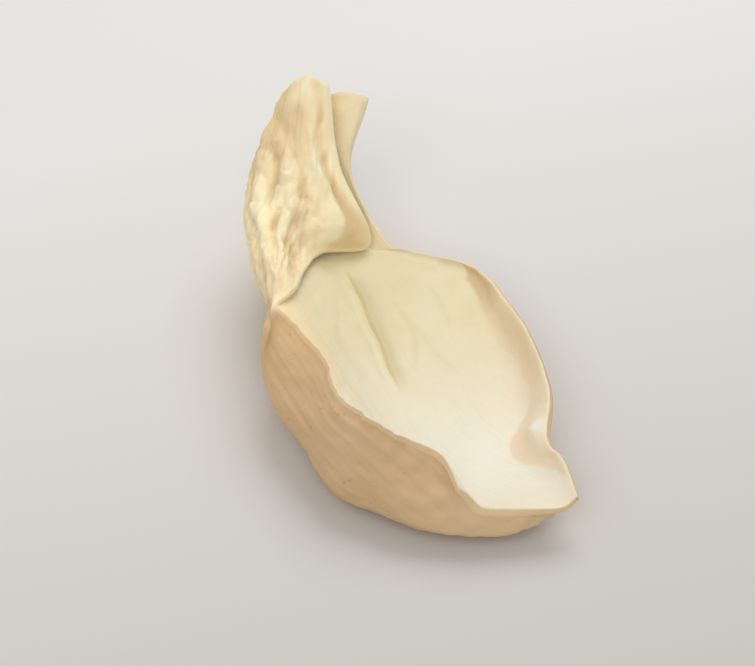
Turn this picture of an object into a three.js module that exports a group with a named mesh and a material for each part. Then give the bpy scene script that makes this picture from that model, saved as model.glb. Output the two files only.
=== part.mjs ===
// One dried slice of a king oyster mushroom, lying on its rounded back.
//
// The mushroom was cut lengthwise and dried. The broad lower part is the thick stem: a shallow dish with a
// smooth cut face, a thick curled wall on its left and a steep thin wall on its right. The narrow upper part
// is where the stem meets the small cap: the left margin has rolled over the face there, so the outer side
// with its gills shows on top, as ridges that run down the roll and end in a point on the rim.
//
// The slice grew as one piece, so it is one solid between two surfaces, the cut face and the back. Each of
// them passes through sections drawn across the slice.
//
// Frame: millimetres, +Z up. Y runs along the slice, from the lip of the stem (-Y) to the rolled neck (+Y).
// X runs across it. The origin is at the bottom centre of its bounding box, on the surface it lies on.

import * as THREE from "three";

// Driving dimensions, in millimetres
const REST_DEPTH = 0.4; // how far the lowest part of the back is flattened, where the slice lies on it
const EDGE_BULGE = 0.35; // how far an edge bulges, as a share of its thickness
const EDGE_BULGE_LIMIT = 0.55;
const GILL_HEIGHT = 0.25;
const BEAK = new THREE.Vector3(-1.9, 0, 0.1); // how far the rim juts out to the left, where the roll meets it

// The sections, from the lip to the tip of the neck. Each row runs across the slice through seven points:
// the left edge, the roll or the upper wall, the left wall, the left turn, the floor, the right turn and the
// right edge.
const SECTIONS = [
  {
    name: "lip",
    face: [
      [-6.4, -30.7, 8.8], [-5.1, -32.0, 7.8], [-3.9, -33.3, 6.9], [-1.1, -34.3, 6.5],
      [2.3, -35.6, 6.3], [5.6, -36.6, 6.2], [7.8, -36.5, 7.2],
    ],
    back: [
      [-7.0, -31.2, 8.1], [-5.8, -32.6, 7.0], [-4.4, -33.9, 6.1], [-1.4, -35.0, 5.7],
      [2.2, -36.1, 5.5], [5.7, -37.0, 5.5], [8.0, -36.8, 6.6],
    ],
  },
  {
    name: "lip root",
    face: [
      [-8.5, -26.1, 11.2], [-7.6, -27.3, 9.2], [-6.4, -28.6, 7.5], [-3.6, -29.6, 6.5],
      [0.4, -30.2, 6.0], [5.2, -30.6, 6.2], [8.3, -31.4, 8.6],
    ],
    back: [
      [-9.1, -26.7, 10.7], [-11.0, -29.6, 6.8], [-9.8, -32.2, 3.9], [-6.0, -33.9, 2.6],
      [0.0, -35.2, 2.6], [6.0, -34.8, 3.6], [8.8, -31.7, 8.0],
    ],
  },
  {
    name: "front of the dish",
    face: [
      [-12.1, -22.0, 13.2], [-10.8, -22.9, 10.8], [-9.0, -23.9, 8.2], [-5.6, -24.8, 6.4],
      [-0.6, -25.4, 5.6], [4.3, -25.9, 6.2], [7.7, -27.4, 8.8],
    ],
    back: [
      [-12.6, -22.3, 12.8], [-15.4, -24.2, 9.2], [-15.8, -26.2, 5.0], [-11.6, -28.4, 1.8],
      [-2.6, -29.2, 0.9], [5.4, -28.6, 2.0], [8.3, -27.8, 8.3],
    ],
  },
  {
    name: "dish, lower third",
    face: [
      [-14.6, -16.3, 15.1], [-12.9, -17.1, 12.2], [-10.8, -17.9, 9.3], [-6.9, -18.7, 6.7],
      [-0.8, -19.2, 5.4], [7.2, -19.6, 5.4], [11.3, -20.4, 10.0],
    ],
    back: [
      [-15.2, -16.5, 14.8], [-18.4, -17.8, 11.2], [-20.2, -19.4, 6.2], [-16.8, -20.9, 1.5],
      [-4.6, -20.6, 0.3], [7.6, -20.4, 1.6], [11.8, -20.6, 9.4],
    ],
  },
  {
    name: "dish, middle",
    face: [
      [-15.8, -8.4, 16.0], [-13.9, -8.8, 12.9], [-11.8, -9.3, 9.9], [-7.7, -9.8, 6.9],
      [-1.0, -10.0, 5.5], [10.6, -10.6, 5.6], [13.1, -11.1, 10.2],
    ],
    back: [
      [-16.4, -8.6, 15.7], [-19.9, -9.2, 12.0], [-21.4, -10.2, 6.8], [-17.8, -10.6, 1.5],
      [-5.0, -10.2, 0.2], [9.0, -10.6, 1.4], [13.7, -11.2, 9.6],
    ],
  },
  {
    name: "dish, upper third",
    face: [
      [-16.5, 0.5, 16.1], [-14.6, 0.4, 13.5], [-12.4, 0.3, 10.9], [-8.1, 0.1, 7.9],
      [-1.2, -0.2, 6.1], [10.6, -1.5, 5.8], [13.4, -2.4, 9.5],
    ],
    back: [
      [-17.1, 0.4, 15.8], [-20.4, 0.2, 12.4], [-21.6, 0.2, 8.2], [-17.2, 0.0, 2.5],
      [-5.0, -0.4, 0.2], [9.6, -1.4, 1.5], [14.0, -2.6, 9.1],
    ],
  },
  {
    name: "where the roll starts",
    face: [
      [-13.9, 5.7, 14.5], [-15.0, 7.0, 14.6], [-13.6, 7.9, 13.1], [-9.8, 8.5, 10.5],
      [-3.0, 8.0, 7.9], [10.6, 7.0, 7.1], [13.0, 6.8, 8.0],
    ],
    back: [
      [-14.2, 5.6, 15.3], [-16.4, 7.1, 16.3], [-17.4, 8.2, 12.6], [-14.8, 8.6, 4.8],
      [-4.6, 8.2, 1.0], [9.2, 7.0, 2.6], [13.4, 6.8, 7.5],
    ],
  },
  {
    name: "mouth of the roll",
    face: [
      [-7.0, 15.2, 10.3], [-10.9, 16.2, 14.9], [-13.1, 17.0, 13.3], [-10.2, 16.8, 11.0],
      [-4.0, 16.0, 8.8], [3.6, 13.4, 8.3], [6.2, 12.4, 8.6],
    ],
    back: [
      [-6.8, 14.7, 11.2], [-12.2, 15.0, 16.8], [-16.2, 16.6, 13.6], [-13.2, 16.8, 6.8],
      [-5.6, 16.4, 4.2], [4.4, 14.2, 4.8], [6.8, 12.4, 7.9],
    ],
  },
  {
    name: "shoulder of the neck",
    face: [
      [0.8, 15.4, 9.5], [-6.9, 20.8, 16.6], [-11.9, 22.8, 14.4], [-9.7, 22.4, 11.6],
      [-4.8, 21.0, 9.6], [0.4, 17.0, 8.8], [3.0, 15.4, 9.4],
    ],
    back: [
      [1.0, 14.9, 10.2], [-7.6, 19.2, 18.6], [-14.5, 22.9, 15.3], [-11.8, 22.8, 8.8],
      [-5.6, 21.9, 6.2], [1.4, 18.2, 6.4], [3.6, 15.5, 8.8],
    ],
  },
  {
    name: "neck",
    face: [
      [-0.5, 23.6, 17.5], [-4.6, 26.8, 19.4], [-8.6, 28.2, 17.6], [-7.5, 27.9, 15.2],
      [-3.8, 27.0, 14.2], [-0.9, 25.4, 16.0], [1.3, 23.7, 16.5],
    ],
    back: [
      [-0.3, 23.1, 18.3], [-5.4, 25.6, 21.1], [-11.0, 28.6, 18.1], [-9.2, 28.8, 12.8],
      [-3.8, 27.9, 11.0], [0.8, 25.9, 13.2], [1.8, 23.9, 15.9],
    ],
  },
  {
    name: "tip",
    face: [
      [1.1, 31.0, 25.9], [-1.0, 32.6, 25.1], [-2.8, 32.9, 23.7], [-2.4, 32.8, 22.9],
      [0.6, 32.0, 23.1], [3.6, 30.5, 24.4], [5.7, 28.8, 24.2],
    ],
    back: [
      [1.3, 30.4, 26.6], [-1.3, 33.3, 26.7], [-4.6, 33.5, 24.2], [-4.0, 33.6, 21.2],
      [0.6, 32.8, 20.7], [5.0, 30.7, 22.0], [6.5, 28.5, 23.6],
    ],
  },
];

// Ridges of the roll, and valleys between them, which have a height below zero. Each follows a path of places
// [along, across], where 0 is the first section or the first point of a section.
const RIDGES = [
  { height: 0.6, width: 0.17, path: [[5.8, 0.45], [6.2, 1.15], [7.3, 1.58], [8.2, 1.68], [9.5, 1.5]] },
  { height: 0.45, width: 0.12, path: [[6.1, 0.75], [7.0, 0.92], [7.7, 1.12], [8.6, 1.25], [9.5, 1.1]] },
  { height: 0.85, width: 0.15, path: [[7.0, 0.2], [7.6, 0.34], [8.1, 0.5], [8.6, 0.66], [9.6, 0.72]] },
  { height: -0.7, width: 0.14, path: [[6.1, 0.3], [6.6, 0.45], [7.05, 0.62], [7.6, 0.78], [8.3, 0.95]] },
  { height: -0.4, width: 0.11, path: [[6.2, 1.0], [7.1, 1.25], [8.15, 1.45], [9.2, 1.35]] },
  { height: -0.5, width: 0.13, path: [[7.9, 0.15], [8.4, 0.36], [8.7, 0.38], [9.05, 0.3], [9.9, 0.4]] },
];

// How many steps the mesh takes in each span between two sections, and between two points of a section
const STEPS_ALONG = [3, 3, 4, 4, 4, 6, 7, 7, 7, 5];
const STEPS_ACROSS = [13, 13, 8, 6, 6, 5];
const EDGE_LOOPS = 2; // loops of vertices that round an edge, between the face and the back

const LAST_SECTION = SECTIONS.length - 1;
const LAST_POINT = SECTIONS[0].face.length - 1;

// A smooth curve through evenly spaced values (Catmull-Rom), at parameter t from 0 to the last one's index.
function through(values, t) {
  const last = values.length - 1;
  const i = Math.min(Math.max(Math.floor(t), 0), last - 1);
  const s = t - i;
  const b = values[i];
  const c = values[i + 1];
  const a = i > 0 ? values[i - 1] : 2 * b - c;
  const d = i < last - 1 ? values[i + 2] : 2 * c - b;
  return b + 0.5 * s * (c - a + s * (2 * a - 5 * b + 4 * c - d + s * (3 * (b - c) + d - a)));
}

// A point of the surface `side` ("face" or "back"), at `along` (0 at the lip, LAST_SECTION at the tip) and
// `across` (0 at the left edge, LAST_POINT at the right edge). The rim's beak is added to the sections.
function surface(side, along, across) {
  const axis = (k) => {
    const column = (j) => through(SECTIONS.map((section) => section[side][j][k]), along);
    return through(SECTIONS[0][side].map((_, j) => column(j)), across);
  };
  const beak = Math.exp(-(((along - 5.5) / 0.36) ** 2) - (across / 0.8) ** 2);
  return new THREE.Vector3(axis(0), axis(1), axis(2)).addScaledVector(BEAK, beak);
}

// Directions along and across a surface, and its normal on the side of the cut face.
function directions(side, along, across) {
  const step = 0.02;
  const [a0, a1] = [Math.max(along - step, 0), Math.min(along + step, LAST_SECTION)];
  const [c0, c1] = [Math.max(across - step, 0), Math.min(across + step, LAST_POINT)];
  const lengthwise = surface(side, a1, across).sub(surface(side, a0, across)).normalize();
  const sideways = surface(side, along, c1).sub(surface(side, along, c0)).normalize();
  return { lengthwise, sideways, normal: sideways.clone().cross(lengthwise).normalize() };
}

const smooth = (from, to, x) => {
  const t = Math.min(Math.max((x - from) / (to - from), 0), 1);
  return t * t * (3 - 2 * t);
};

// How much of the gills shows at a place: all of it on the outer side of the roll, none in the dish.
// The free corner of the roll is smooth.
function gillShare(along, across) {
  const corner = Math.exp(-(((along - 7.9) / 0.8) ** 2) - (across / 0.9) ** 2);
  const start = smooth(5.4, 6.8, along);
  const end = 1 - 0.6 * smooth(9.2, 10, along);
  return start * end * (1 - smooth(2.5, 3.4, across)) * (1 - 0.85 * corner);
}

// Height of one of the ridges at a place: it fades out at both ends of its path.
function ridgeHeight({ height, width, path }, along, across) {
  const [start, end] = [path[0][0], path[path.length - 1][0]];
  if (along <= start || along >= end) return 0;
  const next = path.findIndex(([u]) => u > along);
  const [[u0, v0], [u1, v1]] = [path[next - 1], path[next]];
  const middle = v0 + ((v1 - v0) * (along - u0)) / (u1 - u0);
  const ends = smooth(start, start + 0.35, along) * (1 - smooth(end - 0.35, end, along));
  return height * ends * Math.exp(-(((across - middle) / width) ** 2));
}

// The gills: the ridges, and finer ones between them, which fan out along the roll and drift a little.
function gills(along, across) {
  const bend = 0.16 * Math.sin(1.5 * along + 0.9 * across);
  const drift = bend + 0.06 * Math.sin(3.4 * along - 1.7 * across + 0.6);
  const height = 0.75 + 0.25 * Math.sin(1.7 * along + 2.6 * across);
  const fine = GILL_HEIGHT * height * Math.cos(2 * Math.PI * (2.1 * (across + drift) + 0.1));
  const ridges = RIDGES.reduce((sum, ridge) => sum + ridgeHeight(ridge, along, across), 0);
  return gillShare(along, across) * fine + ridges;
}

// The fold in the cut face, which runs down from the mouth of the roll: a dip, then a small step up.
function fold(p) {
  const offset = p.x + 4.75 - 0.06 * p.y;
  const length = smooth(-11, -5, p.y) * (1 - smooth(9, 14, p.y));
  return 0.85 * offset * Math.exp(-offset * offset) * length;
}

// The top of the right wall turns out just above the notch beside the lip.
const flare = (p) => 1.2 * Math.exp(-(((p.x - 7.6) / 1.4) ** 2) - ((p.y + 25.2) / 1.9) ** 2);

// The back is drawn in below the rim, where the roll ends.
const pinch = (along, across) => 1.1 * Math.exp(-(((along - 5.3) / 0.4) ** 2) - ((across - 1.3) / 0.6) ** 2);

// Soft waves that drying leaves in the cut face and in the back.
const waves = (height, one, other) => height * Math.sin(one) * Math.sin(other);
const faceWaves = (p) => waves(0.22, 0.31 * p.x + 0.12 * p.y, 0.17 * p.y - 0.1 * p.x + 0.8);
const backWaves = (p) => waves(0.3, 0.42 * p.y + 0.2 * p.z, 0.35 * p.x + 0.3 * p.z + 1.1);

// The places of the mesh's rows or columns: each span between two whole numbers is cut into its steps.
function places(steps) {
  const spans = steps.map((n, i) => Array.from({ length: n }, (_, k) => i + (k + 1) / n));
  return [0, ...spans.flat()];
}

function slice() {
  const rows = places(STEPS_ALONG);
  const columns = places(STEPS_ACROSS);
  const points = [];
  const triangles = [];
  const add = (p) => points.push(p) - 1;

  // The face and the back, as two grids
  const grid = rows.map((along) =>
    columns.map((across) => {
      const top = surface("face", along, across);
      const bottom = surface("back", along, across);
      const inner = directions("face", along, across);
      const outer = directions("back", along, across);
      const relief = smooth(0.4, 2.4, top.distanceTo(bottom)); // thin places stay smooth
      const up = relief * (faceWaves(top) + fold(top) + flare(top));
      const inward = relief * (backWaves(bottom) + pinch(along, across) - gills(along, across));
      const face = add(top.clone().addScaledVector(inner.normal, up));
      const back = add(bottom.clone().addScaledVector(outer.normal, inward));
      return { inner, outer, face, back };
    }),
  );
  for (let i = 0; i < rows.length - 1; i++)
    for (let j = 0; j < columns.length - 1; j++) {
      const [a, b, c, d] = [grid[i][j], grid[i][j + 1], grid[i + 1][j + 1], grid[i + 1][j]];
      triangles.push(a.face, b.face, c.face, a.face, c.face, d.face);
      triangles.push(a.back, c.back, b.back, a.back, d.back, c.back);
    }

  // The edge: loops of vertices round the outline, from the face to the back
  const I = rows.length - 1;
  const J = columns.length - 1;
  const outline = [];
  for (let j = 0; j < J; j++) outline.push([0, j]);
  for (let i = 0; i < I; i++) outline.push([i, J]);
  for (let j = J; j > 0; j--) outline.push([I, j]);
  for (let i = I; i > 0; i--) outline.push([i, 0]);
  const loops = [outline.map(([i, j]) => grid[i][j].face)];
  for (let k = 1; k <= EDGE_LOOPS; k++) {
    const turn = (Math.PI * k) / (EDGE_LOOPS + 1);
    loops.push(
      outline.map(([i, j]) => {
        const { inner, outer, face, back } = grid[i][j];
        const out = new THREE.Vector3();
        if (i === 0) out.sub(inner.lengthwise).sub(outer.lengthwise);
        if (i === I) out.add(inner.lengthwise).add(outer.lengthwise);
        if (j === 0) out.sub(inner.sideways).sub(outer.sideways);
        if (j === J) out.add(inner.sideways).add(outer.sideways);
        const gap = points[face].distanceTo(points[back]);
        const p = points[face].clone().lerp(points[back], (1 - Math.cos(turn)) / 2);
        const bulge = Math.min(gap * EDGE_BULGE, EDGE_BULGE_LIMIT);
        return add(p.addScaledVector(out.normalize(), Math.sin(turn) * bulge));
      }),
    );
  }
  loops.push(outline.map(([i, j]) => grid[i][j].back));
  for (let k = 0; k < loops.length - 1; k++)
    for (let n = 0; n < outline.length; n++) {
      const next = (n + 1) % outline.length;
      triangles.push(loops[k][n], loops[k + 1][n], loops[k + 1][next]);
      triangles.push(loops[k][n], loops[k + 1][next], loops[k][next]);
    }

  // The origin: bottom centre of the box, with the lowest part of the back pressed flat
  const box = new THREE.Box3().setFromPoints(points);
  const floor = box.min.z + REST_DEPTH;
  const centre = box.getCenter(new THREE.Vector3());
  for (const p of points) p.set(p.x - centre.x, p.y - centre.y, Math.max(p.z - floor, 0));

  const geometry = new THREE.BufferGeometry().setFromPoints(points);
  geometry.setIndex(triangles);
  geometry.computeVertexNormals();
  return geometry;
}

const cream = new THREE.Color(0.91, 0.86, 0.72);
const flesh = new THREE.MeshStandardMaterial({ color: cream, roughness: 0.85, metalness: 0 });
const mesh = new THREE.Mesh(slice(), flesh);
mesh.name = "mushroom_slice";

const part = new THREE.Group();
part.add(mesh);

export default part;
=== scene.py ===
"""One dried slice of a king oyster mushroom, lying on its rounded back on a pale surface.

The slice is one piece. Its mesh follows the same sections as the solid, at a finer step, and adds what
drying leaves in the surface: creases and wrinkles in the cut face, long wrinkles in the skin, finer gills
and a ragged edge. One material covers it, led by masks that the mesh carries: cut flesh, skin, gills,
painted shade and light, and a painted highlight along the edge.
"""

import math

import bpy
import numpy as np
from mathutils import Matrix, Vector


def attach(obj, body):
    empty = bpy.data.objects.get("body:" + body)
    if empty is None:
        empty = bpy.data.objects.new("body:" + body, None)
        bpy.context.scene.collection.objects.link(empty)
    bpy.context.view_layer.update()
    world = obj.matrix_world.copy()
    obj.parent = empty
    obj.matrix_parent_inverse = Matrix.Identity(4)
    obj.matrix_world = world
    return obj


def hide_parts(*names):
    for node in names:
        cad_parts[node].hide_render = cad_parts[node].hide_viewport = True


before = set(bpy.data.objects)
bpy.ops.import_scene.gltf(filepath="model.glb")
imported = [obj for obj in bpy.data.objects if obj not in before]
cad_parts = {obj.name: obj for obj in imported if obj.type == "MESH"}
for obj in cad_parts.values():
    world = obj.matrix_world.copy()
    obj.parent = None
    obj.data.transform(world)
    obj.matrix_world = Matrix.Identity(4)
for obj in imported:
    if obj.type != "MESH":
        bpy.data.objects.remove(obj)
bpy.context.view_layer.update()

MM = 0.001

# Shape, in millimetres, in the frame in which the sections are drawn
REST_DEPTH = 0.4  # how far the lowest part of the back is flattened, where the slice lies on it
EDGE_BULGE = 0.15  # how far an edge bulges, as a share of its thickness
EDGE_BULGE_LIMIT = 0.25
EDGE_WAVE = 0.06  # how far the edge's own surface is uneven
RAGGED_EDGE = 0.35  # how far the cut edge wanders in and out
GILL_HEIGHT = 0.25
CRUMPLE_HEIGHT = 0.8  # of the creases between the gills
FOLD_HEIGHT = 0.85  # of the swell beside the fold of the cut face
CREASE_DEPTH = 0.4  # of the line at the foot of that swell
BEAK = np.array([-1.9, 0.0, 0.1])  # how far the rim juts out to the left, where the roll meets it
BEAK_ALONG = 5.5  # where along the slice that is

# The turned-out corner of the right rim beside the lip: how high it rises, where, and its reach each way
FLARE_HEIGHT = 1.2
FLARE_AT = (7.6, -25.2)
FLARE_REACH = (1.4, 1.9)

# How the left rim leans in, or out where the height is below zero: height, place along the slice, reach
RIM_LEANS = [(1.4, 0.9, 0.9), (-0.9, 3.2, 0.55), (-0.5, 5.05, 0.25)]

# The mesh's steps in each span between two sections, between two points of a section, and round an edge
STEPS_ALONG = [12, 12, 16, 18, 18, 20, 24, 24, 22, 16]
STEPS_ACROSS = [40, 40, 26, 48, 26, 30]
EDGE_LOOPS = 7

# Ridges of the roll, and valleys between them, which have a height below zero: height, width, and the
# places along and across that each passes, where 0 is the first section or the first point of a section
RIDGES = [
    (0.6, 0.17, [(5.8, 0.45), (6.2, 1.15), (7.3, 1.58), (8.2, 1.68), (9.5, 1.5)]),
    (0.45, 0.12, [(6.1, 0.75), (7.0, 0.92), (7.7, 1.12), (8.6, 1.25), (9.5, 1.1)]),
    (0.85, 0.15, [(7.0, 0.2), (7.6, 0.34), (8.1, 0.5), (8.6, 0.66), (9.6, 0.72)]),
    (-0.7, 0.14, [(6.1, 0.3), (6.6, 0.45), (7.05, 0.62), (7.6, 0.78), (8.3, 0.95)]),
    (-0.4, 0.11, [(6.2, 1.0), (7.1, 1.25), (8.15, 1.45), (9.2, 1.35)]),
    (-0.5, 0.13, [(7.9, 0.15), (8.4, 0.36), (8.7, 0.38), (9.05, 0.3), (9.9, 0.4)]),
]

# Finer ones, which only the scene has
FINE_RIDGES = [
    (-0.3, 0.2, [(7.2, 0.1), (7.7, 0.22), (8.3, 0.2)]),
    (0.25, 0.07, [(7.6, 0.03), (8.3, 0.05), (9.0, 0.06), (10.4, 0.05)]),
    (-0.3, 0.08, [(6.3, 0.62), (7.0, 0.78), (7.8, 0.98), (8.8, 1.0)]),
    (-0.3, 0.08, [(5.9, 0.9), (6.8, 1.42), (7.8, 1.85), (8.9, 1.9)]),
    (0.3, 0.09, [(8.4, 0.15), (8.9, 0.22), (9.5, 0.2), (10.2, 0.25)]),
    (-0.35, 0.12, [(8.1, 0.3), (8.6, 0.38), (9.0, 0.32), (9.4, 0.35)]),
    (0.3, 0.12, [(8.3, 1.0), (8.8, 0.9), (9.4, 0.95), (10.0, 1.1)]),
]

# Where the painted shade on the inner side of the right wall starts: places along the slice, and across it
STRIP_SHADE_START = [
    (0.3, 6.0), (0.7, 5.78), (1.1, 5.38), (1.5, 5.02), (1.9, 4.84), (2.4, 4.8), (2.8, 5.02), (3.15, 5.4),
    (3.4, 5.34), (3.75, 5.14), (4.3, 5.05), (5.2, 5.08), (5.9, 5.06), (6.1, 5.4), (6.35, 6.1),
]

# Faint veins of the cut face: how far each lies to the right of the fold, where it starts and ends along
# the slice, and its depth
VEINS = [(4.6, -7, 6, 0.12), (7.4, -9, 2, 0.1), (-4.2, -3, 9, 0.08), (10.2, -2, 8, 0.09)]

# Camera and surroundings: angles in degrees, lengths in metres
CAMERA_AZIMUTH = -23.2
CAMERA_ELEVATION = 45
CAMERA_DISTANCE = 0.41
CAMERA_TARGET = Vector((-0.001, 0.0005, 0.0095))
LIGHT_TARGET = Vector((0, 0, 0.01))
LENS = 145  # in millimetres
FLOOR_HALF = 3.0
SKY_STRENGTH = 0.52

# The sections, from the lip to the tip of the neck. Each row runs across the slice through seven points:
# the left edge, the roll or the upper wall, the left wall, the left turn, the floor, the right turn, the
# right edge.
SECTIONS = [
    # lip
    {
        "face": [
            (-6.4, -30.7, 8.8), (-5.1, -32.0, 7.8), (-3.9, -33.3, 6.9), (-1.1, -34.3, 6.5),
            (2.3, -35.6, 6.3), (5.6, -36.6, 6.2), (7.8, -36.5, 7.2),
        ],
        "back": [
            (-7.0, -31.2, 8.1), (-5.8, -32.6, 7.0), (-4.4, -33.9, 6.1), (-1.4, -35.0, 5.7),
            (2.2, -36.1, 5.5), (5.7, -37.0, 5.5), (8.0, -36.8, 6.6),
        ],
    },
    # lip root
    {
        "face": [
            (-8.5, -26.1, 11.2), (-7.6, -27.3, 9.2), (-6.4, -28.6, 7.5), (-3.6, -29.6, 6.5),
            (0.4, -30.2, 6.0), (5.2, -30.6, 6.2), (8.3, -31.4, 8.6),
        ],
        "back": [
            (-9.1, -26.7, 10.7), (-11.0, -29.6, 6.8), (-9.8, -32.2, 3.9), (-6.0, -33.9, 2.6),
            (0.0, -35.2, 2.6), (6.0, -34.8, 3.6), (8.8, -31.7, 8.0),
        ],
    },
    # front of the dish
    {
        "face": [
            (-12.1, -22.0, 13.2), (-10.8, -22.9, 10.8), (-9.0, -23.9, 8.2), (-5.6, -24.8, 6.4),
            (-0.6, -25.4, 5.6), (4.3, -25.9, 6.2), (7.7, -27.4, 8.8),
        ],
        "back": [
            (-12.6, -22.3, 12.8), (-15.4, -24.2, 9.2), (-15.8, -26.2, 5.0), (-11.6, -28.4, 1.8),
            (-2.6, -29.2, 0.9), (5.4, -28.6, 2.0), (8.3, -27.8, 8.3),
        ],
    },
    # dish, lower third
    {
        "face": [
            (-14.6, -16.3, 15.1), (-12.9, -17.1, 12.2), (-10.8, -17.9, 9.3), (-6.9, -18.7, 6.7),
            (-0.8, -19.2, 5.4), (7.2, -19.6, 5.4), (11.3, -20.4, 10.0),
        ],
        "back": [
            (-15.2, -16.5, 14.8), (-18.4, -17.8, 11.2), (-20.2, -19.4, 6.2), (-16.8, -20.9, 1.5),
            (-4.6, -20.6, 0.3), (7.6, -20.4, 1.6), (11.8, -20.6, 9.4),
        ],
    },
    # dish, middle
    {
        "face": [
            (-15.8, -8.4, 16.0), (-13.9, -8.8, 12.9), (-11.8, -9.3, 9.9), (-7.7, -9.8, 6.9),
            (-1.0, -10.0, 5.5), (10.6, -10.6, 5.6), (13.1, -11.1, 10.2),
        ],
        "back": [
            (-16.4, -8.6, 15.7), (-19.9, -9.2, 12.0), (-21.4, -10.2, 6.8), (-17.8, -10.6, 1.5),
            (-5.0, -10.2, 0.2), (9.0, -10.6, 1.4), (13.7, -11.2, 9.6),
        ],
    },
    # dish, upper third
    {
        "face": [
            (-16.5, 0.5, 16.1), (-14.6, 0.4, 13.5), (-12.4, 0.3, 10.9), (-8.1, 0.1, 7.9),
            (-1.2, -0.2, 6.1), (10.6, -1.5, 5.8), (13.4, -2.4, 9.5),
        ],
        "back": [
            (-17.1, 0.4, 15.8), (-20.4, 0.2, 12.4), (-21.6, 0.2, 8.2), (-17.2, 0.0, 2.5),
            (-5.0, -0.4, 0.2), (9.6, -1.4, 1.5), (14.0, -2.6, 9.1),
        ],
    },
    # where the roll starts
    {
        "face": [
            (-13.9, 5.7, 14.5), (-15.0, 7.0, 14.6), (-13.6, 7.9, 13.1), (-9.8, 8.5, 10.5),
            (-3.0, 8.0, 7.9), (10.6, 7.0, 7.1), (13.0, 6.8, 8.0),
        ],
        "back": [
            (-14.2, 5.6, 15.3), (-16.4, 7.1, 16.3), (-17.4, 8.2, 12.6), (-14.8, 8.6, 4.8),
            (-4.6, 8.2, 1.0), (9.2, 7.0, 2.6), (13.4, 6.8, 7.5),
        ],
    },
    # mouth of the roll
    {
        "face": [
            (-7.0, 15.2, 10.3), (-10.9, 16.2, 14.9), (-13.1, 17.0, 13.3), (-10.2, 16.8, 11.0),
            (-4.0, 16.0, 8.8), (3.6, 13.4, 8.3), (6.2, 12.4, 8.6),
        ],
        "back": [
            (-6.8, 14.7, 11.2), (-12.2, 15.0, 16.8), (-16.2, 16.6, 13.6), (-13.2, 16.8, 6.8),
            (-5.6, 16.4, 4.2), (4.4, 14.2, 4.8), (6.8, 12.4, 7.9),
        ],
    },
    # shoulder of the neck
    {
        "face": [
            (0.8, 15.4, 9.5), (-6.9, 20.8, 16.6), (-11.9, 22.8, 14.4), (-9.7, 22.4, 11.6),
            (-4.8, 21.0, 9.6), (0.4, 17.0, 8.8), (3.0, 15.4, 9.4),
        ],
        "back": [
            (1.0, 14.9, 10.2), (-7.6, 19.2, 18.6), (-14.5, 22.9, 15.3), (-11.8, 22.8, 8.8),
            (-5.6, 21.9, 6.2), (1.4, 18.2, 6.4), (3.6, 15.5, 8.8),
        ],
    },
    # neck
    {
        "face": [
            (-0.5, 23.6, 17.5), (-4.6, 26.8, 19.4), (-8.6, 28.2, 17.6), (-7.5, 27.9, 15.2),
            (-3.8, 27.0, 14.2), (-0.9, 25.4, 16.0), (1.3, 23.7, 16.5),
        ],
        "back": [
            (-0.3, 23.1, 18.3), (-5.4, 25.6, 21.1), (-11.0, 28.6, 18.1), (-9.2, 28.8, 12.8),
            (-3.8, 27.9, 11.0), (0.8, 25.9, 13.2), (1.8, 23.9, 15.9),
        ],
    },
    # tip
    {
        "face": [
            (1.1, 31.0, 25.9), (-1.0, 32.6, 25.1), (-2.8, 32.9, 23.7), (-2.4, 32.8, 22.9),
            (0.6, 32.0, 23.1), (3.6, 30.5, 24.4), (5.7, 28.8, 24.2),
        ],
        "back": [
            (1.3, 30.4, 26.6), (-1.3, 33.3, 26.7), (-4.6, 33.5, 24.2), (-4.0, 33.6, 21.2),
            (0.6, 32.8, 20.7), (5.0, 30.7, 22.0), (6.5, 28.5, 23.6),
        ],
    },
]

LAST_SECTION = len(SECTIONS) - 1
LAST_POINT = len(SECTIONS[0]["face"]) - 1
FACE = np.array([section["face"] for section in SECTIONS])
BACK = np.array([section["back"] for section in SECTIONS])


# Curves and noise


def places(steps):
    """The places of rows or columns: each span between two whole numbers is cut into its steps."""
    return np.concatenate([[0.0]] + [i + np.arange(1, n + 1) / n for i, n in enumerate(steps)])


def weights(at, count):
    """How much each of `count` evenly spaced values weighs in a smooth curve (Catmull-Rom) at each place."""
    rows = np.zeros((len(at), count))
    for row, t in zip(rows, at):
        i = min(max(int(t), 0), count - 2)
        s = t - i
        before = 0.5 * (-s + 2 * s**2 - s**3)
        after = 0.5 * (s**3 - s**2)
        row[i] += 1 + 0.5 * (3 * s**3 - 5 * s**2)
        row[i + 1] += 0.5 * (s + 4 * s**2 - 3 * s**3)
        if i > 0:
            row[i - 1] += before
        else:
            row[i] += 2 * before
            row[i + 1] -= before
        if i < count - 2:
            row[i + 2] += after
        else:
            row[i + 1] += 2 * after
            row[i] -= after
    return rows


def unit(v):
    return v / np.maximum(np.linalg.norm(v, axis=-1, keepdims=True), 1e-9)


def smooth(low, high, x):
    t = np.clip((x - low) / (high - low), 0, 1)
    return t * t * (3 - 2 * t)


def bell(x, width):
    return np.exp(-((x / width) ** 2))


def ripple(p, size, seed):
    """Soft even noise in space, about -1 to 1, with features of the given size in millimetres."""
    draw = np.random.default_rng(seed)
    total = np.zeros(p.shape[:-1])
    waves = 9
    for _ in range(waves):
        direction = unit(draw.normal(size=3))
        length = size * draw.uniform(0.7, 1.5)
        total += np.sin((p @ direction) * 2 * math.pi / length + draw.uniform(0, 2 * math.pi))
    return total / math.sqrt(waves)


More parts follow.
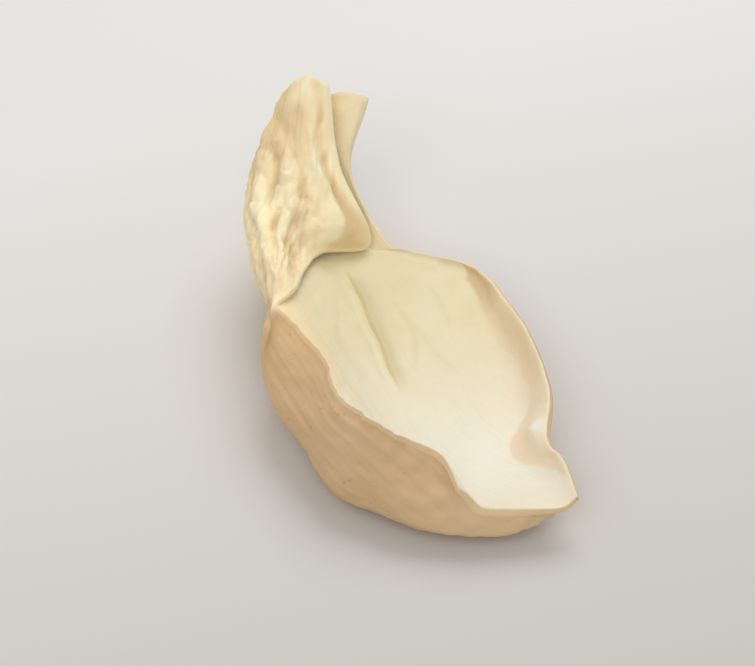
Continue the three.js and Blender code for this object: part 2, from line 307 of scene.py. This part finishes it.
def grid_of(net, along, across):
    """Points of one surface and its directions along it, across it and out on the side of the cut face."""
    step = 0.02

    def at(u, v):
        u = np.clip(u, 0, LAST_SECTION)
        v = np.clip(v, 0, LAST_POINT)
        rows = weights(u, LAST_SECTION + 1)
        columns = weights(v, LAST_POINT + 1)
        beak = bell(u - BEAK_ALONG, 0.36)[:, None] * bell(v, 0.8)
        return np.einsum("ui,ijk,vj->uvk", rows, net, columns) + beak[..., None] * BEAK

    lengthwise = unit(at(along + step, across) - at(along - step, across))
    sideways = unit(at(along, across + step) - at(along, across - step))
    return at(along, across), lengthwise, sideways, unit(np.cross(sideways, lengthwise))


# Relief. Here and in the masks p is a place in millimetres, u runs along the slice from section to section
# (0 the lip, 2.5 the flare, 5.5 the beak, 8 the shoulder of the neck, 10 its tip), and v runs across it
# (0 the left rim or the roll's free edge, 3 the left turn, 5 the right turn, 6 the right rim).


def gill_share(u, v):
    """How much of the gills shows: all on the roll's outer side, less in its free corner and at the tip."""
    corner = bell(u - 7.9, 0.8) * bell(v, 0.9)
    start = smooth(5.4, 6.8, u)
    end = 1 - 0.6 * smooth(9.2, 10, u)
    return start * end * (1 - smooth(2.5, 3.4, v)) * (1 - 0.85 * corner)


def gill_wave(u, v):
    """The ridges of the gills, -1 to 1, which fan out along the roll and drift a little."""
    drift = 0.16 * np.sin(1.5 * u + 0.9 * v) + 0.06 * np.sin(3.4 * u - 1.7 * v + 0.6)
    return np.cos(2 * math.pi * (2.1 * (v + drift) + 0.1))


def ridges(u, v, lines):
    """Height of the ridges and valleys of the roll, which fade out at both ends of their paths."""
    total = np.zeros_like(u)
    fade = 0.35
    for height, width, path in lines:
        along, across = np.array(path).T
        ends = smooth(along[0], along[0] + fade, u) * (1 - smooth(along[-1] - fade, along[-1], u))
        total += height * ends * bell(v - np.interp(u, along, across), width)
    return total


def crumple(p, size, seed):
    """Sharp creases between soft swells, about 0 to 1, as dried gills and skin crumple."""
    return np.minimum(np.abs(ripple(p, size, seed)) * 0.8, 1)


def neck_creases(p):
    """Creases of the gills, which are drawn out along the neck."""
    axis = unit(np.array([0.42, 0.62, 0.66]))
    stretch = 0.68
    drawn = p - stretch * (p @ axis)[..., None] * axis
    bent = drawn + 0.3 * ripple(p, 4, 33)[..., None]
    return 0.6 * crumple(drawn, 3.0, 31) + 0.4 * crumple(bent, 1.5, 32)


def fold_offset(p):
    """How far a place of the cut face lies to the right of the fold, in millimetres."""
    return p[..., 0] + 4.75 - 0.06 * p[..., 1] + 0.3 * ripple(p, 9.0, 11)


def fold_length(p):
    """The fold fades out at both ends, from 0 to 1 along the slice."""
    return smooth(-11, -5, p[..., 1]) * (1 - smooth(9, 14, p[..., 1]))


def vein_depth(p):
    """Depth of the faint veins of the cut face, in millimetres."""
    y = p[..., 1]
    total = np.zeros_like(y)
    for shift, low, high, depth in VEINS:
        line = bell(fold_offset(p) - shift + 0.9 * np.sin(0.32 * y + shift), 0.45)
        total += depth * line * smooth(low, low + 3, y) * (1 - smooth(high - 3, high, y))
    return total


def face_relief(p):
    """Height of the cut face over its smooth surface: waves, the fold, the flare, veins and wrinkles."""
    x, y = p[..., 0], p[..., 1]
    waves = 0.22 * np.sin(0.31 * x + 0.12 * y) * np.sin(0.17 * y - 0.1 * x + 0.8)
    flare = FLARE_HEIGHT * bell(x - FLARE_AT[0], FLARE_REACH[0]) * bell(y - FLARE_AT[1], FLARE_REACH[1])
    offset = fold_offset(p)
    fold = FOLD_HEIGHT * offset * bell(offset, 1.0)
    crease = CREASE_DEPTH * (bell(offset - 0.1, 0.3) - 0.55 * bell(offset + 0.5, 0.45))
    wrinkles = 0.05 * ripple(p, 3.2, 5) + 0.03 * ripple(p, 1.5, 6)
    return waves + flare + (fold - crease) * fold_length(p) - vein_depth(p) + wrinkles


def back_relief(u, v, p):
    """Depth of the back inside its smooth surface: waves, the pinch under the rim, gills and wrinkles."""
    x, y, z = p[..., 0], p[..., 1], p[..., 2]
    waves = 0.3 * np.sin(0.42 * y + 0.2 * z) * np.sin(0.35 * x + 0.3 * z + 1.1)
    pinch = 1.1 * bell(u - 5.3, 0.4) * bell(v - 1.3, 0.6)
    share = gill_share(u, v)
    height = GILL_HEIGHT * (0.75 + 0.25 * np.sin(1.7 * u + 2.6 * v))
    gills = height * gill_wave(u, v) + CRUMPLE_HEIGHT * (neck_creases(p) - 0.4)
    drawn = p * [1.0, 0.28, 1.0]
    wrinkles = 0.09 * ripple(drawn, 2.6, 8) + 0.05 * ripple(drawn, 1.3, 9) + 0.05 * ripple(p, 2.2, 10)
    lines = ridges(u, v, RIDGES + FINE_RIDGES)
    return waves + pinch - share * gills - lines + (1 - 0.7 * share) * wrinkles


def rim_lean(u, v):
    """How far the left rim leans in over the face."""
    return sum(height * bell(u - at, reach) for height, at, reach in RIM_LEANS) * bell(v, 0.9)


def rim_wander(u, v, middle):
    """How far the cut edge wanders: all along the left rim but the lip and the roll, less on the right."""
    left = bell(v, 0.35) * smooth(0.4, 1.4, u) * (1 - 0.85 * smooth(4.6, 5.4, u))
    right = 0.3 * bell(LAST_POINT - v, 0.35)
    wander = 0.7 * ripple(middle, 4.2, 41) + 0.3 * ripple(middle, 1.7, 42)
    return RAGGED_EDGE * wander * (left + right)


# Mesh


def outline(rows, columns):
    """The rows and columns of the places on the outline, in order round the slice."""
    ring = [(0, j) for j in range(columns - 1)] + [(i, columns - 1) for i in range(rows - 1)]
    ring += [(rows - 1, j) for j in range(columns - 1, 0, -1)] + [(i, 0) for i in range(rows - 1, 0, -1)]
    return np.array(ring).T


def outward(i, j, lengthwise, sideways):
    """Which way is out of the slice at each place of the outline."""
    rows, columns = lengthwise.shape[:2]
    out = ((i == rows - 1) * 1 - (i == 0))[:, None] * lengthwise[i, j]
    out += ((j == columns - 1) * 1 - (j == 0))[:, None] * sideways[i, j]
    return unit(out)


def slice_mesh():
    """The mesh's vertices in millimetres, its faces, and the masks of its material for each vertex."""
    along = places(STEPS_ALONG)
    across = places(STEPS_ACROSS)
    u, v = np.meshgrid(along, across, indexing="ij")
    face, face_length, face_side, face_out = grid_of(FACE, along, across)
    back, back_length, back_side, back_out = grid_of(BACK, along, across)
    gap = np.linalg.norm(face - back, axis=-1)
    relief = smooth(0.4, 2.4, gap)  # thin places stay smooth
    face = face + face_out * (relief * face_relief(face))[..., None]
    back = back + back_out * (relief * back_relief(u, v, back))[..., None]

    # The rim moves as a whole, face and back alike
    lean = rim_lean(u, v)[..., None] * face_out
    middle = (face + back) / 2 + lean
    shift = lean + rim_wander(u, v, middle)[..., None] * (face_side + face_out)
    face = face + shift
    back = back + shift

    rows, columns = u.shape
    index = np.arange(rows * columns).reshape(rows, columns)
    points = [face.reshape(-1, 3), back.reshape(-1, 3)]
    corners = index[:-1, :-1], index[:-1, 1:], index[1:, 1:], index[1:, :-1]
    top = np.stack(corners, axis=-1).reshape(-1, 4)
    bottom = top[:, ::-1] + rows * columns
    quads = [top, bottom]

    # The edge: loops of vertices round the outline, from the face to the back
    i, j = outline(rows, columns)
    out = outward(i, j, face_length + back_length, face_side + back_side)
    bulge = np.minimum(gap[i, j] * EDGE_BULGE, EDGE_BULGE_LIMIT)[:, None]
    loops = [index[i, j]]
    for k in range(1, EDGE_LOOPS + 1):
        turn = math.pi * k / (EDGE_LOOPS + 1)
        share = (1 - math.cos(turn)) / 2
        loop = face[i, j] * (1 - share) + back[i, j] * share + out * math.sin(turn) * bulge
        loop += EDGE_WAVE * ripple(loop, 2.4, 20)[:, None] * out * math.sin(turn)
        loops.append(2 * rows * columns + (k - 1) * len(i) + np.arange(len(i)))
        points.append(loop)
    loops.append(index[i, j] + rows * columns)
    for upper, lower in zip(loops, loops[1:]):
        quads.append(np.stack([upper, lower, np.roll(lower, -1), np.roll(upper, -1)], axis=-1))
    return np.concatenate(points), np.concatenate(quads), masks_of(u, v, face, back, i, j)


# Masks, from 0 to 1


def strip_shade_mask(u, v):
    """Painted shade on the inner side of the right wall and in the pocket beside the lip, not on the lit
    facet between.
    """
    along, across = zip(*STRIP_SHADE_START)
    start = np.interp(u, along, across)
    facet = bell(u - 2.45, 0.35) * smooth(5.35, 5.6, v)
    strip_shade = smooth(start - 0.04, start + 0.08, v) * (1 - 0.85 * facet)
    faint_shade = 0.4 * smooth(4.5, 5.2, v) * bell(u - 3.5, 0.6)
    return np.maximum(strip_shade, faint_shade) * (1 - smooth(5.92, 5.99, v))


def shade_mask(p):
    """Painted shade on the face right of the fold, and the veins, which are a little darker too."""
    offset = fold_offset(p)
    fold = smooth(-0.1, 0.1, offset) * bell(np.maximum(offset, 0), 2.2) * fold_length(p)
    return np.maximum(fold, 3 * vein_depth(p))


def roll_mask(u, v, fingers):
    """The roll's gilled outer side, which starts above the beak and runs out into skin."""
    start = 5.2 + 0.35 * smooth(0.4, 1.8, v) + fingers
    width = 0.45 + 0.5 * smooth(0.6, 2.0, v)
    return smooth(start, start + width, u) * (1 - smooth(2.0, 3.2, v + fingers))


def tan_mask(u, v, fingers):
    """The tan places of the roll: its shoulder, and painted shade on its free corner right of the long
    ridge.
    """
    shoulder = smooth(8.3, 9.1, u + fingers) * smooth(0.5, 1.1, v)
    shoulder *= 1 - smooth(9.5, 9.9, u) * (1 - smooth(1.0, 1.6, v))
    ridge = 0.34 + 0.32 * (u - 7.6)
    # Painted shade on the free corner, the side of the fold turned from the light
    corner = smooth(7.1, 7.4, u) * (1 - smooth(8.2, 8.6, u)) * (1 - smooth(ridge - 0.12, ridge, v))
    return np.maximum(0.75 * shoulder, 0.8 * corner)


def valley_shade_mask(u, v, back):
    """Painted shade in the valleys of the roll, from 0 on a ridge to 1 in the deepest, but fewer in one pale
    patch.
    """
    waves = gill_share(u, v) * (0.2 * gill_wave(u, v) + 0.6 * (neck_creases(back) - 0.3))
    lines = 0.6 * ridges(u, v, RIDGES) + ridges(u, v, FINE_RIDGES)
    pale = 0.4 * bell(u - 7.75, 0.5) * bell(v - 0.78, 0.3)
    return 1 - np.clip(0.7 + waves + lines + pale - 0.08 * ripple(back, 3.0, 52), 0, 1)


def masks_of(u, v, face, back, i, j):
    """The masks for the face, the back and the edge loops, in the order of the vertices."""
    left = np.cumsum(np.linalg.norm(np.diff(face, axis=1, prepend=face[:, :1]), axis=-1), axis=1)
    right = left[:, -1:] - left
    ahead = np.cumsum(np.linalg.norm(np.diff(face, axis=0, prepend=face[:1]), axis=-1), axis=0)
    behind = ahead[-1:] - ahead
    inside = np.minimum(np.minimum(left, right), np.minimum(ahead, behind))
    fingers = 0.25 * smooth(0.4, 1.6, v) * ripple(back * [1.0, 0.25, 1.0], 1.9, 51)
    roll = roll_mask(u, v, fingers)
    skin = 1 - roll
    # Painted shade in the crevice below the beak, under the rim's corner
    corner = bell(u - 5.15, 0.3) * bell(v - 1.0, 0.6)
    # Painted light: the face paler and warmer next to the left rim, where it turns up towards the light
    rim_light = bell(left, 6.0) * smooth(2.5, 4.5, u) * (1 - smooth(5.4, 6.2, u))
    turn = np.arange(1, EDGE_LOOPS + 1)[:, None] / (EDGE_LOOPS + 1)
    edge_skin = smooth(0.1, 0.4, turn) * (skin * (1 - 0.8 * smooth(7.4, 8.4, u)))[i, j]
    zero = np.zeros_like(u)
    bare = np.zeros_like(turn)

    # Each mask on the face, on the back and round the edge
    fields = {
        "skin": (zero, skin, edge_skin),
        "gill": (zero, roll, 0.2 * turn),
        # Painted shade in the valleys of the gills
        "valley_shade": (zero, roll * valley_shade_mask(u, v, back), bare),
        "tan": (zero, tan_mask(u, v, fingers), bare),
        # Painted shade below the beak
        "corner": (zero, corner, bare),
        "rim_light": (rim_light, zero, bare),
        # Partly painted light: the neck's inner side is made paler and warmer to lift the shade of the roll
        "neck": (smooth(7.2, 8.4, u), zero, bare),
        # Painted highlight along the outline, on the face and on the roll's free edge
        "rim": (bell(inside, 0.35), bell(inside, 0.25) * roll, 1 - edge_skin),
        # Painted shade on the inner side of the right wall
        "strip_shade": (strip_shade_mask(u, v), zero, bare),
        "shade": (shade_mask(face), zero, bare),
    }
    masks = {}
    for name, (above, below, around) in fields.items():
        ring = np.broadcast_to(around, (EDGE_LOOPS, len(i)))
        masks[name] = np.concatenate([above.ravel(), below.ravel(), ring.ravel()])

    # Where a place lies on the sheet, in millimetres across and along it, for grain that follows the slice
    sheet = np.stack([left, ahead, zero], axis=-1)
    under = sheet + [0, 0, 40]
    around = np.tile(sheet[i, j], (EDGE_LOOPS, 1))
    masks["sheet"] = np.concatenate([sheet.reshape(-1, 3), under.reshape(-1, 3), around])
    return masks


def make_slice():
    points, quads, masks = slice_mesh()
    low, high = points.min(axis=0), points.max(axis=0)
    points -= [(low[0] + high[0]) / 2, (low[1] + high[1]) / 2, low[2] + REST_DEPTH]
    points[:, 2] = np.maximum(points[:, 2], 0)
    mesh = bpy.data.meshes.new("mushroom slice")
    mesh.from_pydata((points * MM).tolist(), [], quads.tolist())
    for name, values in masks.items():
        vector = values.ndim == 2
        field = mesh.attributes.new(name, "FLOAT_VECTOR" if vector else "FLOAT", "POINT")
        field.data.foreach_set("vector" if vector else "value", values.ravel())
    mesh.shade_smooth()
    piece = bpy.data.objects.new("dried_mushroom_slice", mesh)
    bpy.context.scene.collection.objects.link(piece)
    mesh.materials.append(mushroom_material())
    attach(piece, "root")
    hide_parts("mushroom_slice")
    return piece


# Materials


def srgb(red, green, blue):
    """A colour as it looks on screen, 0 to 255, as a shader's linear colour."""
    shares = [c / 255 for c in (red, green, blue)]
    linear = [c / 12.92 if c < 0.0404 else ((c + 0.055) / 1.055) ** 2.4 for c in shares]
    return (*linear, 1.0)


# Cut flesh
CREAM = srgb(235, 227, 194)
STRAW = srgb(230, 219, 182)
LOWER_FACE = srgb(241, 238, 223)
LIP = srgb(239, 232, 213)
# Painted light next to the left rim
LEFT_RIM_LIGHT = srgb(250, 232, 190)
# Partly painted light: the neck's inner side is paler and warmer than its own colour, lifting the roll's
# shade
NECK_LIT = srgb(255, 240, 202)
FIBRE = srgb(222, 206, 164)
# Painted shade right of the fold, also used to darken the veins
SHADE = srgb(206, 192, 150)
# Painted shade on the inner side of the right wall, darker towards its top
STRIP_SHADE = srgb(237, 218, 190)
STRIP_SHADE_TOP = srgb(214, 188, 150)
# Painted highlight along the edge
EDGE_HIGHLIGHT = srgb(248, 233, 194)

# Skin
SKIN = srgb(216, 185, 143)
SKIN_STREAK = srgb(206, 173, 130)
SKIN_PATCH = srgb(218, 189, 152)
SKIN_UPPER = srgb(236, 198, 148)
SKIN_LIP = srgb(228, 200, 160)
# Painted shade below the beak
SKIN_CORNER_SHADE = srgb(178, 138, 94)
FLECK = srgb(168, 128, 90)

# Gills
GILL = srgb(255, 246, 207)
GILL_WARM = srgb(255, 232, 190)
GILL_GREEN = srgb(250, 243, 200)
# Tan of the roll's shoulder, and painted shade on its free corner
GILL_TAN_AND_SHADE = srgb(226, 200, 152)
# Painted shade in the valleys of the gills
VALLEY_SHADE = srgb(222, 194, 148)

# Surface under the slice
SURFACE_BACK = srgb(231, 231, 231)
# Painted shade: the surface darkens towards the front
SURFACE_FRONT_SHADE = srgb(200, 198, 195)


class Nodes:
    """Adds shader nodes to a material in short calls."""

    def __init__(self, material):
        material.use_nodes = True
        self.tree = material.node_tree
        self.tree.nodes.clear()

    def add(self, kind, sockets=None, **settings):
        node = self.tree.nodes.new(kind)
        for name, value in settings.items():
            setattr(node, name, value)
        for name, value in (sockets or {}).items():
            self.put(node.inputs[name], value)
        return node

    def put(self, socket, value):
        if isinstance(value, bpy.types.NodeSocket):
            self.tree.links.new(value, socket)
        else:
            socket.default_value = value

    def mask(self, name, share=1.0):
        mask = self.add("ShaderNodeAttribute", attribute_name=name).outputs["Fac"]
        return mask if share == 1.0 else self.math("MULTIPLY", mask, share)

    def place(self):
        return self.add("ShaderNodeTexCoord").outputs["Object"]

    def lengthwise(self):
        return self.add("ShaderNodeSeparateXYZ", {"Vector": self.place()}).outputs["Y"]

    def sheet(self, x, y):
        """The place on the sheet, with grain drawn out by a smaller number."""
        sheet = self.add("ShaderNodeAttribute", attribute_name="sheet").outputs["Vector"]
        return self.add("ShaderNodeMapping", {"Vector": sheet, "Scale": (x, y, 1.0)}).outputs["Vector"]

    def noise(self, vector, scale, detail=3.0, roughness=0.5):
        sockets = {"Vector": vector, "Scale": scale, "Detail": detail, "Roughness": roughness}
        return self.add("ShaderNodeTexNoise", sockets).outputs["Fac"]

    def ramp(self, value, low, high, to_low=0.0, to_high=1.0):
        sockets = {"Value": value, "From Min": low, "From Max": high, "To Min": to_low, "To Max": to_high}
        return self.add("ShaderNodeMapRange", sockets, clamp=True).outputs["Result"]

    def math(self, operation, first, second):
        node = self.add("ShaderNodeMath", {0: first, 1: second}, operation=operation)
        return node.outputs["Value"]

    def mix(self, share, first, second):
        node = self.add("ShaderNodeMix", data_type="RGBA")
        self.put(node.inputs[0], share)
        self.put(node.inputs[6], first)
        self.put(node.inputs[7], second)
        return node.outputs[2]


def flesh_colour(n, fibres):
    """Cut flesh: soft patches of cream and straw, paler towards the lip, fibres along the slice, painted
    light and shade.
    """
    place, y = n.place(), n.lengthwise()
    colour = n.mix(n.ramp(n.noise(place, 70.0, 2.0), 0.35, 0.65), CREAM, STRAW)
    colour = n.mix(n.ramp(y, 0.002, -0.022), colour, LOWER_FACE)
    colour = n.mix(n.ramp(y, -0.024, -0.031), colour, LIP)
    # Painted light next to the left rim
    colour = n.mix(n.mask("rim_light"), colour, LEFT_RIM_LIGHT)
    # Partly painted light on the neck's inner side, against the shade of the roll
    colour = n.mix(n.mask("neck"), colour, NECK_LIT)
    colour = n.mix(n.ramp(fibres, 0.5, 0.8, 0.0, 0.2), colour, FIBRE)
    # Painted shade right of the fold, and darker veins
    colour = n.mix(n.mask("shade", 0.7), colour, SHADE)
    # Painted shade on the inner side of the right wall, darker towards its top
    strip_shade = n.mix(n.ramp(y, 0.0, 0.005), STRIP_SHADE, STRIP_SHADE_TOP)
    return n.mix(n.mask("strip_shade", 0.9), colour, strip_shade)


def skin_colour(n):
    """Skin: tan, warmer in its upper half and paler at the lip, with long streaks, a few small flecks and
    painted shade below the beak.
    """
    place, y = n.place(), n.lengthwise()
    streaks = n.noise(n.sheet(0.8, 0.1), 1.0, 4.0, 0.55)
    colour = n.mix(n.ramp(streaks, 0.35, 0.7), SKIN, SKIN_STREAK)
    colour = n.mix(n.ramp(n.noise(place, 110.0, 2.0), 0.4, 0.7, 0.0, 0.6), colour, SKIN_PATCH)
    colour = n.mix(n.ramp(y, -0.016, 0.002, 0.0, 0.7), colour, SKIN_UPPER)
    colour = n.mix(n.ramp(y, -0.024, -0.033, 0.0, 0.7), colour, SKIN_LIP)
    # Painted shade below the beak
    colour = n.mix(n.mask("corner", 0.6), colour, SKIN_CORNER_SHADE)
    flecks = n.ramp(n.noise(place, 900.0, 1.0, 0.4), 0.71, 0.78, 0.0, 0.35)
    return n.mix(flecks, colour, FLECK)


def gill_colour(n):
    """Gills: straw yellow on the ridges, with painted shade in the valleys and tan in a few broad places."""
    place = n.place()
    colour = n.mix(n.ramp(n.noise(place, 160.0), 0.35, 0.65), GILL, GILL_WARM)
    colour = n.mix(n.ramp(n.noise(place, 230.0, 2.0), 0.5, 0.7, 0.0, 0.6), colour, GILL_GREEN)
    # Tan shoulder, and painted shade on the free corner
    colour = n.mix(n.mask("tan"), colour, GILL_TAN_AND_SHADE)
    # Painted shade in the valleys of the gills
    return n.mix(n.ramp(n.mask("valley_shade"), 0.2, 0.85), colour, VALLEY_SHADE)


def mushroom_material():
    """Dried mushroom: dry and matt, with fibres and pores, and a painted highlight along the edge."""
    material = bpy.data.materials.new("dried mushroom")
    n = Nodes(material)
    fibres = n.noise(n.sheet(1.3, 0.16), 1.0, 4.0, 0.6)
    colour = n.mix(n.mask("skin"), flesh_colour(n, fibres), skin_colour(n))
    colour = n.mix(n.mask("gill"), colour, gill_colour(n))
    # Painted highlight along the edge
    colour = n.mix(n.mask("rim", 0.7), colour, EDGE_HIGHLIGHT)
    pores = n.noise(n.place(), 1500.0, 2.0)
    grain = n.math("ADD", n.math("MULTIPLY", fibres, 0.7), n.math("MULTIPLY", pores, 0.3))
    bump = n.add("ShaderNodeBump", {"Strength": 0.35, "Distance": 0.00018, "Height": grain})
    sockets = {
        "Base Color": colour,
        "Roughness": n.ramp(fibres, 0.3, 0.7, 0.7, 0.86),
        "Specular IOR Level": 0.3,
        "Subsurface Weight": 0.12,
        "Subsurface Radius": (0.0016, 0.001, 0.0005),
        "Normal": bump.outputs["Normal"],
    }
    shader = n.add("ShaderNodeBsdfPrincipled", sockets)
    n.add("ShaderNodeOutputMaterial", {"Surface": shader.outputs["BSDF"]})
    return material


def surface_material():
    """The pale matt surface that the slice lies on, with painted shade that darkens it a little in front."""
    material = bpy.data.materials.new("pale surface")
    n = Nodes(material)
    # Painted shade towards the front
    colour = n.mix(n.ramp(n.lengthwise(), 0.06, -0.09), SURFACE_BACK, SURFACE_FRONT_SHADE)
    sockets = {"Base Color": colour, "Roughness": 0.7, "Specular IOR Level": 0.2}
    shader = n.add("ShaderNodeBsdfPrincipled", sockets)
    n.add("ShaderNodeOutputMaterial", {"Surface": shader.outputs["BSDF"]})
    return material


# Surroundings


def make_floor():
    mesh = bpy.data.meshes.new("floor")
    half = FLOOR_HALF
    corners = [(-half, -half, 0), (half, -half, 0), (half, half, 0), (-half, half, 0)]
    mesh.from_pydata(corners, [], [(0, 1, 2, 3)])
    mesh.materials.append(surface_material())
    floor = bpy.data.objects.new("floor", mesh)
    bpy.context.scene.collection.objects.link(floor)


def aim(thing, azimuth, elevation, distance, target):
    """Places a camera or light as seen from the target: azimuth 0 is the -Y side, -90 the -X side."""
    a, e = math.radians(azimuth), math.radians(elevation)
    back = Vector((math.sin(a) * math.cos(e), -math.cos(a) * math.cos(e), math.sin(e)))
    turn = back.to_track_quat("Z", "Y").to_matrix().to_4x4()
    thing.matrix_world = Matrix.Translation(target + back * distance) @ turn


def make_light(name, azimuth, elevation, distance, size, power, colour):
    light = bpy.data.lights.new(name, "AREA")
    light.shape = "DISK"
    light.size = size
    light.energy = power
    light.color = colour
    thing = bpy.data.objects.new(name, light)
    bpy.context.scene.collection.objects.link(thing)
    aim(thing, azimuth, elevation, distance, LIGHT_TARGET)


def make_lights():
    make_light("window", 140, 58, 0.5, size=0.35, power=1.0, colour=(1.0, 0.985, 0.96))
    make_light("front fill", -40, 50, 1.2, size=0.9, power=3.4, colour=(1.0, 0.95, 0.89))
    world = bpy.data.worlds.new("room")
    world.use_nodes = True
    sky = world.node_tree.nodes["Background"]
    sky.inputs["Color"].default_value = (1.0, 0.98, 0.95, 1.0)
    sky.inputs["Strength"].default_value = SKY_STRENGTH
    bpy.context.scene.world = world


def make_camera():
    """The photograph's direction on the slice, moved closer so that the slice fills the frame."""
    lens = bpy.data.cameras.new("camera")
    lens.lens = LENS
    camera = bpy.data.objects.new("camera", lens)
    bpy.context.scene.collection.objects.link(camera)
    aim(camera, CAMERA_AZIMUTH, CAMERA_ELEVATION, CAMERA_DISTANCE, CAMERA_TARGET)
    bpy.context.scene.camera = camera


make_slice()
make_floor()
make_lights()
make_camera()
bpy.context.scene.view_settings.view_transform = "Standard"
